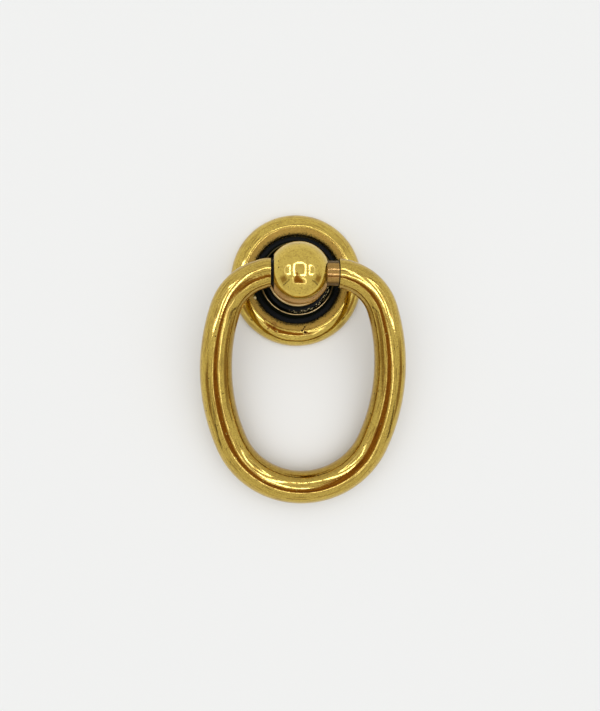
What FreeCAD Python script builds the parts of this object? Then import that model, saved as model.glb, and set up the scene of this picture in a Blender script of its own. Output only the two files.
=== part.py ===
import FreeCAD, Part
import enum
import math
import os
import Sketcher

# Ring pull handle in cast brass: a round rosette, a post with a ball head, and a swinging ring.
# The handle lies on its back: the rosette's back face is on z = 0 and +Z points away from the
# drawer front. +Y is up on the drawer front, so the ring hangs towards -Y and rests on z = 0.

# Driving sizes in millimetres. The post's neck, foot and dish, and the rosette's recess and rim,
# are rings round each other, so their radii add up from the neck outwards.
SIZES = {
    # ball head, with a spot face on each side of it, and the waist under it
    "pivot_height": 11.5,
    "ball_radius": 5.7,
    "spot_depth": 0.7,
    "left_spot_extra": 0.38,
    "spot_margin": 0.7,
    "waist_height": 0.9,
    "waist_cut": 1.3,
    # neck and foot of the post: a disc with a raised bead round a shallow dish
    "neck_radius": 5.65,
    "neck_round": 0.35,
    "dish_width": 0.65,
    "dish_slope": 0.48,
    "dish_depth": 0.95,
    "bead_width": 0.44,
    "bead_height": 2.45,
    "foot_ledge": 0.43,
    "foot_chamfer": 0.4,
    "foot_edge": 0.95,
    # spigot in the rosette's middle hole, and the land left above its blind screw hole
    "spigot_radius": 3.0,
    "spigot_gap": 0.05,
    "screw_land": 2.725,
    # rosette, a turned disc with a sunk middle; its rim is round outside and slopes gently inside
    "recess_floor": 1.6,
    "recess_gap": 1.05,
    "rim_slope_width": 1.56,
    "rim_slope_drop": 0.65,
    "rim_crown": 0.36,
    "rim_outer_round": 3.1,
    "crest_round": 0.5,
    "rose_edge": 0.42,
    "rose_back_round": 0.2,
    # ring: a round bar that thickens towards the bottom, bent in three arcs on each side; a tuck
    # is how far the bottom's or the arm's bend falls short of the ring's half width
    "ring_drop": 41.27,
    "ring_half_width": 16.29,
    "bottom_tuck": 1.71,
    "arm_tuck": 1.377,
    "bend_overlap": 0.757,
    "shoulder_step": 0.375,
    "side_swell": 0.4,
    "bottom_swell": 0.13,
    "shoulder_round": 0.25,
    # the ring's turned tenons, and its sideways play between the shoulders and the spot faces
    "tenon_radius": 2.225,
    "tenon_tip": 1.77,
    "tenon_chamfer": 0.3,
    "running_gap": 0.05,
    "shoulder_gap": 1.17,
    "left_gap": 0.47,
}
M4_TAPPING_RADIUS = 1.65

# Points this near a plane or an axis, in millimetres, count as on it.
NEAR = 0.01


class Point(enum.IntEnum):
    """The sketcher's own numbers for the points of an edge."""

    START = 1
    END = 2
    CENTRE = 3


class Axis(enum.IntEnum):
    """The sketcher's own numbers for the axes of a sketch."""

    X = -1
    Y = -2


class Size:
    """A length: its number, and the expression on the size sheet that gives it."""

    def __init__(self, value, text):
        self.value = value
        self.text = text

    def __add__(self, other):
        return Size(self.value + other.value, f"({self.text} + {other.text})")

    def __sub__(self, other):
        return Size(self.value - other.value, f"({self.text} - {other.text})")

    def __neg__(self):
        return Size(-self.value, f"(-1 * {self.text})")

    def half(self):
        """Half of the length."""
        return Size(self.value / 2, f"({self.text} / 2)")


def height_of(slant, base):
    """The upright side of a right-angled triangle, from its slant and its base."""
    value = math.sqrt(slant.value**2 - base.value**2)
    return Size(value, f"sqrt({slant.text}^2 - {base.text}^2)")


document = FreeCAD.newDocument("ring_pull_handle")
sheet = document.addObject("Spreadsheet::Sheet", "sizes")
size = {}
for row, (word, number) in enumerate(SIZES.items(), start=1):
    sheet.set(f"A{row}", word)
    sheet.set(f"B{row}", str(number))
    sheet.setAlias(f"B{row}", word)
    size[word] = Size(number, f"sizes.{word}")
document.recompute()
ZERO = Size(0.0, "0")

# Places that two or more pieces share.
dish_radius = size["neck_radius"] + size["dish_width"]
bead_in = dish_radius + size["dish_slope"]
bead_out = bead_in + size["bead_width"]
foot_radius = bead_out + size["foot_ledge"]
spot_face = size["ball_radius"] - size["spot_depth"]
left_spot_face = spot_face - size["left_spot_extra"]
bore_radius = size["tenon_radius"] + size["running_gap"]
bar_at_arm = size["tenon_radius"] + size["shoulder_step"]


def new_body(label):
    """An empty body under its own label."""
    body = document.addObject("PartDesign::Body", label)
    body.Label = label
    return body


def plane_of(body, role):
    """One of the body's own origin planes."""
    return next(item for item in body.Origin.OriginFeatures if item.Role == role)


def new_sketch(body, name, role, lift=ZERO, shift=ZERO, turn=0.0):
    """A sketch on an origin plane: lifted off it, shifted along its own Y, or turned in it."""
    sketch = body.newObject("Sketcher::SketchObject", name)
    sketch.AttachmentSupport = [(plane_of(body, role), "")]
    sketch.MapMode = "FlatFace"
    rotation = FreeCAD.Rotation(FreeCAD.Vector(0, 0, 1), turn)
    place = FreeCAD.Vector(0, shift.value, lift.value)
    sketch.AttachmentOffset = FreeCAD.Placement(place, rotation)
    if shift is not ZERO:
        sketch.setExpression("AttachmentOffset.Base.y", shift.text)
    if lift is not ZERO:
        sketch.setExpression("AttachmentOffset.Base.z", lift.text)
    return sketch


def bind_length(sketch, kind, ends, length):
    """A dimension on the sketch, bound to the size sheet."""
    number = sketch.addConstraint(Sketcher.Constraint(kind, *ends, length.value))
    sketch.setExpression(f"Constraints[{number}]", length.text)


def pin(sketch, item, point, axis, length):
    """Holds a point at a distance from the sketch's origin, along X or along Y."""
    if abs(length.value) < NEAR / 1000:
        line = Axis.Y if axis == "X" else Axis.X
        sketch.addConstraint(Sketcher.Constraint("PointOnObject", item, point, line))
    elif length.value > 0:
        bind_length(sketch, f"Distance{axis}", (Axis.X, Point.START, item, point), length)
    else:
        bind_length(sketch, f"Distance{axis}", (item, point, Axis.X, Point.START), -length)


def vector(point):
    """A point of the sketch from its two sizes."""
    return FreeCAD.Vector(point[0].value, point[1].value, 0)


def arc_between(start, end, centre, clockwise):
    """The shorter arc from start to end round the centre."""
    first = end if clockwise else start
    last = start if clockwise else end
    radius = (start - centre).Length
    angles = [math.atan2(p.y - centre.y, p.x - centre.x) for p in (first, last)]
    circle = Part.Circle(centre, FreeCAD.Vector(0, 0, 1), radius)
    return Part.ArcOfCircle(circle, *angles)


def outline(sketch, corners, arcs):
    """A closed outline. arcs gives an edge's number its centre and whether it runs clockwise."""
    forward = (Point.START, Point.END)
    backward = (Point.END, Point.START)
    ends = []
    for number, corner in enumerate(corners):
        start = vector(corner)
        end = vector(corners[(number + 1) % len(corners)])
        if number in arcs:
            centre, clockwise = arcs[number]
            item = sketch.addGeometry(arc_between(start, end, vector(centre), clockwise))
            ends.append(backward if clockwise else forward)
            across = abs(end.y - start.y) > abs(end.x - start.x)
            if across:
                pin(sketch, item, Point.CENTRE, "X", centre[0])
            else:
                pin(sketch, item, Point.CENTRE, "Y", centre[1])
        else:
            item = sketch.addGeometry(Part.LineSegment(start, end))
            ends.append(forward)
    for number, corner in enumerate(corners):
        before = (number - 1) % len(corners)
        join = (before, ends[before][1], number, ends[number][0])
        sketch.addConstraint(Sketcher.Constraint("Coincident", *join))
        pin(sketch, number, ends[number][0], "X", corner[0])
        pin(sketch, number, ends[number][0], "Y", corner[1])


def disc(sketch, across, up, radius):
    """A circle in the sketch, with its centre at two sizes from the sketch's origin."""
    centre = FreeCAD.Vector(across.value, up.value, 0)
    circle = Part.Circle(centre, FreeCAD.Vector(0, 0, 1), radius.value)
    item = sketch.addGeometry(circle)
    pin(sketch, item, Point.CENTRE, "X", across)
    pin(sketch, item, Point.CENTRE, "Y", up)
    bind_length(sketch, "Radius", (item,), radius)


def turned(body, kind, name, sketch, axis):
    """A full turn of the sketch: a Revolution adds it, a Groove cuts it."""
    feature = body.newObject(f"PartDesign::{kind}", name)
    feature.Profile = sketch
    feature.ReferenceAxis = (sketch, [axis])
    feature.Angle = 360.0
    document.recompute()
    return feature


def mirror_whole(body, name):
    """The whole shape, doubled on the other side of the YZ plane."""
    feature = body.newObject("PartDesign::Mirrored", name)
    feature.TransformMode = "Whole shape"
    feature.MirrorPlane = (plane_of(body, "YZ_Plane"), [""])
    body.Tip = feature
    document.recompute()
    return feature


def edges_where(feature, wanted):
    """The names of the feature's edges whose points all pass the test."""
    names = []
    for number, edge in enumerate(feature.Shape.Edges, start=1):
        if all(wanted(point) for point in edge.discretize(9)):
            names.append(f"Edge{number}")
    return names


def dress(body, kind, name, base, edges, measure, length):
    """A fillet or chamfer on the named edges of the feature before it."""
    feature = body.newObject(f"PartDesign::{kind}", name)
    feature.Base = (base, edges)
    feature.setExpression(measure, length.text)
    document.recompute()
    return feature


def make_rosette():
    """The rosette, turned: a rim round outside and sloped inside, a sunk middle and a hole."""
    body = new_body("rosette")
    hole = size["spigot_radius"] + size["spigot_gap"]
    wall = foot_radius + size["recess_gap"]
    crest = wall + size["rim_slope_width"]
    rim_centre = crest - size["rim_crown"]
    rose_radius = rim_centre + size["rim_outer_round"]
    crest_height = size["rose_edge"] + height_of(size["rim_outer_round"], size["rim_crown"])
    wall_top = crest_height - size["rim_slope_drop"]
    sketch = new_sketch(body, "rosette_profile", "XZ_Plane")
    corners = [
        (hole, ZERO),
        (rose_radius, ZERO),
        (rose_radius, size["rose_edge"]),
        (crest, crest_height),
        (wall, wall_top),
        (wall, size["recess_floor"]),
        (hole, size["recess_floor"]),
    ]
    outline(sketch, corners, {2: ((rim_centre, size["rose_edge"]), False)})
    plain_disc = turned(body, "Revolution", "rosette_turned", sketch, "V_Axis")

    def on_crest(point):
        return point.z > crest_height.value - NEAR

    def on_back_edge(point):
        far_out = math.hypot(point.x, point.y) > rose_radius.value - NEAR
        return far_out and point.z < NEAR

    top = edges_where(plain_disc, on_crest)
    crested = dress(body, "Fillet", "crest_edge", plain_disc, top, "Radius", size["crest_round"])
    back_edge = edges_where(crested, on_back_edge)
    dress(body, "Fillet", "back_edge", crested, back_edge, "Radius", size["rose_back_round"])
    return body


def post_corners():
    """The post's half section from the spigot's end to the ball's top, and its arcs."""
    foot = size["recess_floor"]
    step = foot + size["foot_edge"]
    bead_middle = (bead_in + bead_out).half()
    bead_top = foot + size["bead_height"] - (bead_out - bead_middle)
    dish_floor = foot + size["bead_height"] - size["dish_depth"]
    waist = size["neck_radius"] - size["waist_cut"]
    ball_start = size["pivot_height"] - height_of(size["ball_radius"], waist)
    neck_top = ball_start - size["waist_height"]
    neck_in = size["neck_radius"] - size["neck_round"]
    corners = [
        (ZERO, ZERO),
        (size["spigot_radius"], ZERO),
        (size["spigot_radius"], foot),
        (foot_radius, foot),
        (foot_radius, step),
        (bead_out, step + size["foot_chamfer"]),
        (bead_out, bead_top),
        (bead_in, bead_top),
        (bead_in, dish_floor + size["dish_slope"]),
        (dish_radius, dish_floor),
        (size["neck_radius"], dish_floor),
        (size["neck_radius"], neck_top - size["neck_round"]),
        (neck_in, neck_top),
        (waist, neck_top),
        (waist, ball_start),
        (ZERO, size["pivot_height"] + size["ball_radius"]),
    ]
    arcs = {
        6: ((bead_middle, bead_top), False),
        11: ((neck_in, neck_top - size["neck_round"]), False),
        14: ((ZERO, size["pivot_height"]), False),
    }
    return corners, arcs


def make_ball_post():
    """The post, turned in one piece, spot-faced and cross-drilled at the ball, and tapped below."""
    body = new_body("ball_post")
    sketch = new_sketch(body, "post_profile", "XZ_Plane")
    outline(sketch, *post_corners())
    turned(body, "Revolution", "post_turned", sketch, "V_Axis")

    # The spot face is a flat on each side of the ball, square to the pivot. The left one is deeper.
    beyond = spot_face + size["ball_radius"]
    spot_radius = bar_at_arm + size["spot_margin"]
    for side, near, far in (("right", spot_face, beyond), ("left", -left_spot_face, -beyond)):
        face = new_sketch(body, f"spot_profile_{side}", "XZ_Plane", shift=size["pivot_height"])
        outline(face, [(near, ZERO), (far, ZERO), (far, spot_radius), (near, spot_radius)], {})
        turned(body, "Groove", f"spot_face_{side}", face, "H_Axis")

    # The cross bore is drilled right through and carries both tenons.
    bore_sketch = new_sketch(body, "bore_circle", "YZ_Plane")
    disc(bore_sketch, ZERO, size["pivot_height"], bore_radius)
    bore = body.newObject("PartDesign::Pocket", "cross_bore")
    bore.Profile = bore_sketch
    bore.Type = "ThroughAll"
    bore.SideType = "Symmetric"
    document.recompute()

    # The screw hole is tapped M4 from the spigot's end and stops below the cross bore.
    screw_sketch = new_sketch(body, "screw_circle", "XY_Plane")
    disc(screw_sketch, ZERO, ZERO, Size(M4_TAPPING_RADIUS, str(M4_TAPPING_RADIUS)))
    document.recompute()
    screw = body.newObject("PartDesign::Hole", "screw_hole")
    screw.Profile = screw_sketch
    screw.ThreadType = "ISOMetricProfile"
    screw.ThreadSize = "M4x0.7"
    screw.Threaded = True
    screw.DepthType = "Dimension"
    screw_depth = size["pivot_height"] - bore_radius - size["screw_land"]
    screw.setExpression("Depth", screw_depth.text)
    screw.DrillPoint = "Angled"
    screw.Reversed = True
    document.recompute()
    return body


def side_bend_radius(width, low, low_bend, arm, arm_bend):
    """The side bend that runs smoothly into the bottom bend and the arm bend, by halving."""
    least = width
    most = 100 * width
    while most - least > NEAR / 1000:
        radius = (least + most) / 2
        below = math.sqrt((radius - low_bend) ** 2 - (radius - width) ** 2)
        above = math.sqrt((radius - arm_bend) ** 2 - (radius - width + arm.x) ** 2)
        if below + above > arm.y - low.y:
            most = radius
        else:
            least = radius
    return radius


def ring_path(body, tip, arm_start):
    """Half of the ring's centreline: along the tenon, round the arm and side, to the bottom."""
    sketch = new_sketch(body, "ring_path", "XY_Plane")
    width = size["ring_half_width"]
    arm_bend = width - arm_start - size["arm_tuck"]
    low_bend = width - size["bottom_tuck"]
    low = vector((ZERO, low_bend - size["ring_drop"]))
    arm = vector((arm_start, -arm_bend))
    ends = (low, low_bend.value, arm, arm_bend.value)
    side_bend = side_bend_radius(width.value, *ends)
    depth = math.sqrt((side_bend - low_bend.value) ** 2 - (side_bend - width.value) ** 2)
    side = FreeCAD.Vector(width.value - side_bend, low.y + depth, 0)
    arm_end = side + (arm - side).normalize() * side_bend
    widest = FreeCAD.Vector(width.value, side.y, 0)
    side_end = side + (low - side).normalize() * side_bend
    bottom = vector((ZERO, -size["ring_drop"]))
    bend_top = vector((arm_start, ZERO))
    sketch.addGeometry(Part.LineSegment(vector((tip, ZERO)), bend_top))
    sketch.addGeometry(arc_between(bend_top, arm_end, arm, True))
    sketch.addGeometry(arc_between(arm_end, widest, side, True))
    sketch.addGeometry(arc_between(widest, side_end, side, True))
    sketch.addGeometry(arc_between(side_end, bottom, low, True))
    sketch.addConstraint(Sketcher.Constraint("Tangent", 0, Point.END, 1, Point.END))
    for upper in (1, 2, 3):
        join = (upper, Point.START, upper + 1, Point.END)
        sketch.addConstraint(Sketcher.Constraint("Tangent", *join))
    sketch.addConstraint(Sketcher.Constraint("Equal", 2, 3))
    level = (2, Point.CENTRE, 2, Point.START)
    sketch.addConstraint(Sketcher.Constraint("Horizontal", *level))
    pin(sketch, 0, Point.START, "X", tip)
    pin(sketch, 0, Point.START, "Y", ZERO)
    pin(sketch, 0, Point.END, "X", arm_start)
    pin(sketch, 0, Point.END, "Y", ZERO)
    bind_length(sketch, "Radius", (1,), arm_bend)
    pin(sketch, 2, Point.START, "X", width)
    bind_length(sketch, "Radius", (4,), low_bend)
    pin(sketch, 4, Point.CENTRE, "X", ZERO)
    pin(sketch, 4, Point.START, "X", ZERO)
    pin(sketch, 4, Point.START, "Y", -size["ring_drop"])

    # How far the widest point hangs below the pivot is read off the sketch, not set.
    hang = (2, Point.START, Axis.X, Point.START, -side.y)
    number = sketch.addConstraint(Sketcher.Constraint("DistanceY", *hang))
    sketch.setDriving(number, False)
    sketch.renameConstraint(number, "widest_depth")
    return sketch, Size(-side.y, f"{sketch.Name}.Constraints.widest_depth")


def make_ring():
    """The ring, one casting: half is swept, turned down to its tenon, and mirrored."""
    body = new_body("ring")
    tip = size["tenon_tip"]
    shoulder = spot_face + size["shoulder_gap"]
    bar_at_side = bar_at_arm + size["side_swell"]
    bar_at_bottom = bar_at_side + size["bottom_swell"]
    path, widest_depth = ring_path(body, tip, shoulder - size["bend_overlap"])
    arm_disc = new_sketch(body, "bar_at_arm", "YZ_Plane", lift=tip)
    disc(arm_disc, ZERO, ZERO, bar_at_arm)
    side_disc = new_sketch(body, "bar_at_side", "XZ_Plane", lift=widest_depth)
    disc(side_disc, size["ring_half_width"], ZERO, bar_at_side)
    bottom_disc = new_sketch(body, "bar_at_bottom", "YZ_Plane", turn=180.0)
    disc(bottom_disc, size["ring_drop"], ZERO, bar_at_bottom)
    document.recompute()
    bar = body.newObject("PartDesign::AdditivePipe", "half_bar")
    bar.Profile = arm_disc
    bar.Spine = (path, [f"Edge{number}" for number in range(1, 6)])
    bar.Sections = [(side_disc, [""]), (bottom_disc, [""])]
    bar.Transformation = "Multisection"
    document.recompute()

    # The bar's end is turned down to the tenon, which leaves a square shoulder.
    around = new_sketch(body, "tenon_profile", "XY_Plane")
    clear = bar_at_side + size["tenon_radius"]
    corners = [
        (tip - size["running_gap"], size["tenon_radius"]),
        (shoulder, size["tenon_radius"]),
        (shoulder, clear),
        (tip - size["running_gap"], clear),
    ]
    outline(around, corners, {})
    tenon = turned(body, "Groove", "tenon", around, "H_Axis")

    def on_shoulder(point):
        radius = math.hypot(point.y, point.z)
        at_face = abs(point.x - shoulder.value) < NEAR
        return at_face and radius > size["tenon_radius"].value + NEAR

    def on_tip(point):
        return abs(point.x - tip.value) < NEAR

    rim = edges_where(tenon, on_shoulder)
    rounded = dress(body, "Fillet", "shoulder_edge", tenon, rim, "Radius", size["shoulder_round"])
    end = edges_where(rounded, on_tip)
    dress(body, "Chamfer", "tenon_end", rounded, end, "Size", size["tenon_chamfer"])
    mirror_whole(body, "whole_ring")

    # The ring swings about its own X axis, and hangs until its bottom touches z = 0.
    lift = size["pivot_height"] - bar_at_bottom
    shift = shoulder - left_spot_face - size["left_gap"]
    slope = math.degrees(math.asin(lift.value / size["ring_drop"].value))
    rest = FreeCAD.Rotation(FreeCAD.Vector(1, 0, 0), slope)
    place = FreeCAD.Vector(shift.value, 0, size["pivot_height"].value)
    body.Placement = FreeCAD.Placement(place, rest)
    body.setExpression("Placement.Base.x", shift.text)
    body.setExpression("Placement.Base.z", size["pivot_height"].text)
    body.setExpression("Placement.Rotation.Angle", f"asin({lift.text} / {size['ring_drop'].text})")
    return body


def check(bodies):
    """Stops with a plain message if any object failed or any body has no valid solid."""
    for item in document.Objects:
        if "Invalid" in item.State or "Error" in item.State:
            raise RuntimeError(f"{item.Name} failed: {item.State}")
    for body in bodies:
        if body.Shape.isNull() or not body.Shape.isValid():
            raise RuntimeError(f"{body.Label} has no valid shape")
        if len(body.Shape.Solids) != 1:
            raise RuntimeError(f"{body.Label} has {len(body.Shape.Solids)} solids")


def main():
    """Builds the three pieces and writes each as a STEP file."""
    bodies = [make_rosette(), make_ball_post(), make_ring()]
    document.recompute()
    check(bodies)
    os.makedirs("parts", exist_ok=True)
    for body in bodies:
        body.Shape.exportStep(f"parts/{body.Label}.step")
        box = body.Shape.BoundBox
        print(body.Label, "volume", round(body.Shape.Volume, 1), "mm3")
        print("  x", round(box.XMin, 2), round(box.XMax, 2))
        print("  y", round(box.YMin, 2), round(box.YMax, 2))
        print("  z", round(box.ZMin, 2), round(box.ZMax, 2))


main()
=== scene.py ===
# %% [markdown]
# # Ring pull handle in aged brass
# The real object is three pieces of cast and turned brass: a round rosette, a post with a ball
# head, and a ring that swings on two tenons in the ball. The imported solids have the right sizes
# but clean skins. Here each piece is made again as a fine mesh with the dents, the thread and the
# uneven polish that the real one shows, and gets a finish made of shader nodes.

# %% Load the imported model
import math

import bmesh
import bpy
from mathutils import Matrix, Vector, noise


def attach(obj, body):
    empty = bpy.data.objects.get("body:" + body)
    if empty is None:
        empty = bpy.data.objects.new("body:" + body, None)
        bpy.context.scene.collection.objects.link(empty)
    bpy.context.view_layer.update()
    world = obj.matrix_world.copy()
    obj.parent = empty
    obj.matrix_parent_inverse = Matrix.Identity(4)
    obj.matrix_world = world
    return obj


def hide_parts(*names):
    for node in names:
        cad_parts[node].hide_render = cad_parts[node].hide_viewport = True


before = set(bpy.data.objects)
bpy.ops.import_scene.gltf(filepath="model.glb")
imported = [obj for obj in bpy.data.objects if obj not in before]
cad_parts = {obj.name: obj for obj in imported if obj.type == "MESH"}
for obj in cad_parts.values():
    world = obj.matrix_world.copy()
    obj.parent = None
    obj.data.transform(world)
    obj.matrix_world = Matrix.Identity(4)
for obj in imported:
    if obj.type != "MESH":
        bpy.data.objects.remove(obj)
bpy.context.view_layer.update()


# %% [markdown]
# ## Small tools
# Lengths of the object are written in millimetres, as on a drawing, and a mesh is brought to
# metres when it is made. Colours are written as sRGB hex values, which is what a colour picker
# shows, and one function turns them to the linear values that shaders work in.

# %% Units and colours
MM = 0.001


def colour(hex_value):
    """The linear RGBA of an sRGB hex value."""
    channels = [int(hex_value[i : i + 2], 16) / 255 for i in (1, 3, 5)]
    linear = [c / 12.92 if c <= 0.04045 else ((c + 0.055) / 1.055) ** 2.4 for c in channels]
    return (*linear, 1.0)


print("mid grey in linear light", round(colour("#808080")[0], 3))

# %% [markdown]
# ## Adding a node
# One function adds a node with its settings and its links and gives back its outputs, so that a
# tree reads as a list of steps. The kinds and settings that come up again and again get short
# names. Sockets are given by number where that is shorter: Map Range takes the value, the two
# ends it comes from and the two ends it goes to as 0 to 4. A colour Mix takes its factor as 0 and
# its two colours as 6 and 7, and its colour comes out as 2. The smooth Map Range is how a mask
# gets its soft edge, the greater of two masks is either of them, and their product is both.

# %% Node kinds, settings and the function
MATH = "ShaderNodeMath"
VECTOR_MATH = "ShaderNodeVectorMath"
MAP_RANGE = "ShaderNodeMapRange"
MIX = "ShaderNodeMix"
NOISE = "ShaderNodeTexNoise"
SPLIT = "ShaderNodeSeparateXYZ"
JOIN = "ShaderNodeCombineXYZ"
BACKGROUND = "ShaderNodeBackground"
ATTRIBUTE = "ShaderNodeAttribute"

ADD = {"operation": "ADD"}
SUBTRACT = {"operation": "SUBTRACT"}
MULTIPLY = {"operation": "MULTIPLY"}
MULTIPLY_ADD = {"operation": "MULTIPLY_ADD"}
GREATER = {"operation": "MAXIMUM"}
SMALLER = {"operation": "MINIMUM"}
SCALE = {"operation": "SCALE"}
DOT = {"operation": "DOT_PRODUCT"}
TO_LENGTH_ONE = {"operation": "NORMALIZE"}
SMOOTH = {"interpolation_type": "SMOOTHSTEP"}
OF_COLOURS = {"data_type": "RGBA"}


def add_node(tree, kind, settings=None, links=None):
    """Adds a node and gives its outputs. links gives a socket another output or a plain value."""
    node = tree.nodes.new(kind)
    for name, value in (settings or {}).items():
        setattr(node, name, value)
    for socket, value in (links or {}).items():
        if isinstance(value, bpy.types.NodeSocket):
            tree.links.new(value, node.inputs[socket])
        else:
            node.inputs[socket].default_value = value
    return node.outputs


def soft_band(tree, value, low, high, soft):
    """1 where the value is between low and high, falling off over a soft width."""
    rise = add_node(tree, MAP_RANGE, SMOOTH, {0: value, 1: low - soft, 2: low + soft})[0]
    falling = {0: value, 1: high - soft, 2: high + soft, 3: 1.0, 4: 0.0}
    fall = add_node(tree, MAP_RANGE, SMOOTH, falling)[0]
    return add_node(tree, MATH, MULTIPLY, {0: rise, 1: fall})[0]


print("node kinds with a short name:", MATH, VECTOR_MATH, MAP_RANGE, MIX, NOISE)

# %% [markdown]
# ## Camera
# The photograph was taken from straight above, with the camera held close. The place, the tilt
# and the lens were worked out from the round outlines of the rosette, the ball and the ring, so the
# camera is set from those numbers and not aimed by hand.

# %% Camera above the handle
CAMERA_PLACE = (-5.634, -16.238, 127.0)
CAMERA_TURNS = ((0.0108, "X"), (-0.0507, "Y"), (0.005, "Z"))
FOCAL_PIXELS = 637.9
LONG_SIDE_PIXELS = 711
SENSOR_WIDTH = 36.0

camera_data = bpy.data.cameras.new("camera")
camera_data.sensor_fit = "AUTO"
camera_data.sensor_width = SENSOR_WIDTH
camera_data.lens = FOCAL_PIXELS / LONG_SIDE_PIXELS * SENSOR_WIDTH
camera_data.clip_start = 0.005
camera_data.clip_end = 20.0
camera = bpy.data.objects.new("camera", camera_data)
bpy.context.scene.collection.objects.link(camera)
turn = Matrix.Identity(4)
for angle, axis in CAMERA_TURNS:
    turn = turn @ Matrix.Rotation(angle, 4, axis)
camera.matrix_world = Matrix.Translation(Vector(CAMERA_PLACE) * MM) @ turn
bpy.context.scene.camera = camera
print("lens in mm", round(camera_data.lens, 2))


# %% [markdown]
# ## The room
# Polished brass shows the room more than itself. The photograph was taken in a small white light
# box: white walls with a darker opening low on each side and a dark fold beside it. The walls are
# the world, painted by the direction a ray comes from: its bearing below the X axis and its
# height. The box stands a little askew, so both lean with X. Three kinds of ray see three worlds.
# Reflections see the painted walls. The paper is lit by a world that is brightest straight above,
# as under ceiling lamps, which gives soft weak shadows. The camera sees a plain backdrop.

# %% Directions in the white box
BOX_ASKEW = 0.07
BOX_LEANING = 0.08

scene = bpy.context.scene
scene.view_settings.view_transform = "Standard"
world = bpy.data.worlds.new("white_box")
scene.world = world
world.use_nodes = True
tree = world.node_tree
tree.nodes.clear()
direction = add_node(tree, "ShaderNodeTexCoord")["Generated"]
x_part, y_part, z_part = add_node(tree, SPLIT, links={0: direction})
across = add_node(tree, MATH, {"operation": "ABSOLUTE"}, {0: x_part})[0]
down = add_node(tree, MATH, MULTIPLY, {0: y_part, 1: -1.0})[0]
bearing = add_node(tree, MATH, {"operation": "ARCTAN2"}, {0: down, 1: across})[0]
askew = add_node(tree, MATH, MULTIPLY_ADD, {0: x_part, 1: BOX_ASKEW, 2: bearing})[0]
leaning = add_node(tree, MATH, MULTIPLY_ADD, {0: x_part, 1: BOX_LEANING, 2: z_part})[0]
print("world nodes for directions", len(tree.nodes))

# %% Walls with openings and folds
WALL_WHITE = (0.8, 0.8, 0.79, 1.0)
OPENING_BROWN = (0.36, 0.27, 0.18, 1.0)
FOLD_BROWN = (0.13, 0.09, 0.05, 1.0)
OPENING_BEARINGS = (11.0, 31.0)
FOLD_BEARINGS = (34.0, 37.2)
degree = math.pi / 180

first, last = (bearing * degree for bearing in OPENING_BEARINGS)
beside = soft_band(tree, askew, first, last, 5 * degree)
opening_height = soft_band(tree, leaning, 0.09, 0.49, 0.09)
opening = add_node(tree, MATH, MULTIPLY, {0: beside, 1: opening_height})[0]
first, last = (bearing * degree for bearing in FOLD_BEARINGS)
fold = soft_band(tree, askew, first, last, 0.8 * degree)
fold_height = soft_band(tree, leaning, 0.02, 0.62, 0.04)
fold = add_node(tree, MATH, MULTIPLY, {0: fold, 1: fold_height})[0]
walls = WALL_WHITE
for mask, paint in ((opening, OPENING_BROWN), (fold, FOLD_BROWN)):
    walls = add_node(tree, MIX, OF_COLOURS, {0: mask, 6: walls, 7: paint})[2]
print("opening at", OPENING_BEARINGS, "and fold at", FOLD_BEARINGS, "degrees")

# %% One world for each kind of ray
OVERHEAD_FALL = 1.6
OVERHEAD_STRENGTH = 1.8
OVERHEAD_WHITE = (1.0, 1.0, 0.995, 1.0)

reflected = add_node(tree, BACKGROUND, links={"Color": walls, "Strength": 1.0})[0]
upward = add_node(tree, MATH, GREATER, {0: z_part, 1: 0.0})[0]
steep = add_node(tree, MATH, {"operation": "POWER"}, {0: upward, 1: OVERHEAD_FALL})[0]
overhead = add_node(tree, MATH, MULTIPLY, {0: steep, 1: OVERHEAD_STRENGTH})[0]
lighting = add_node(tree, BACKGROUND, links={"Color": OVERHEAD_WHITE, "Strength": overhead})[0]
backdrop = add_node(tree, BACKGROUND, links={"Color": WALL_WHITE, "Strength": 1.0})[0]
ray = add_node(tree, "ShaderNodeLightPath")
for_diffuse = {0: ray["Is Diffuse Ray"], 1: reflected, 2: lighting}
seen = add_node(tree, "ShaderNodeMixShader", links=for_diffuse)[0]
for_camera = {0: ray["Is Camera Ray"], 1: seen, 2: backdrop}
seen = add_node(tree, "ShaderNodeMixShader", links=for_camera)[0]
add_node(tree, "ShaderNodeOutputWorld", links={"Surface": seen})
print("world nodes", len(tree.nodes))

# %% [markdown]
# ## Paper and lamps
# The handle lies on matt white paper, a single quad that runs far past the picture. Overhead hang
# three square lamp frames, and a dark shape stands in between, with bright edges on three sides.
# They are flat cards over the camera. Only reflections see them, so they don't change how the
# paper is lit. Their outlines were read from their mirror images in the ball, as slopes: how far
# across and up a ray from the ball goes for each unit that it rises. The brass swallows most of
# the blue, and the lamps' lines look nearly white in the photograph, so the lamps are bluish.

# %% Paper floor
FLOOR_HALF = 1500.0
PAPER_WHITE = (0.862, 0.866, 0.862, 1.0)

paper = bpy.data.materials.new("matt_white_paper")
paper.use_nodes = True
tree = paper.node_tree
tree.nodes.clear()
sheet = add_node(tree, "ShaderNodeBsdfDiffuse", links={"Color": PAPER_WHITE})[0]
add_node(tree, "ShaderNodeOutputMaterial", links={"Surface": sheet})
floor_mesh = bpy.data.meshes.new("paper_floor")
half = FLOOR_HALF * MM
corners = [(-half, -half, 0.0), (half, -half, 0.0), (half, half, 0.0), (-half, half, 0.0)]
floor_mesh.from_pydata(corners, [], [(0, 1, 2, 3)])
floor_mesh.materials.append(paper)
floor = bpy.data.objects.new("paper_floor", floor_mesh)
scene.collection.objects.link(floor)
print("floor", FLOOR_HALF * 2, "mm wide")

# %% A card that only reflections see
LAMP_HEIGHT = 150.0
DARK_HEIGHT = 128.0
BALL_HEIGHT = 11.5
LAMP_TINT = (0.97, 1.0, 1.4, 1.0)


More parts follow.
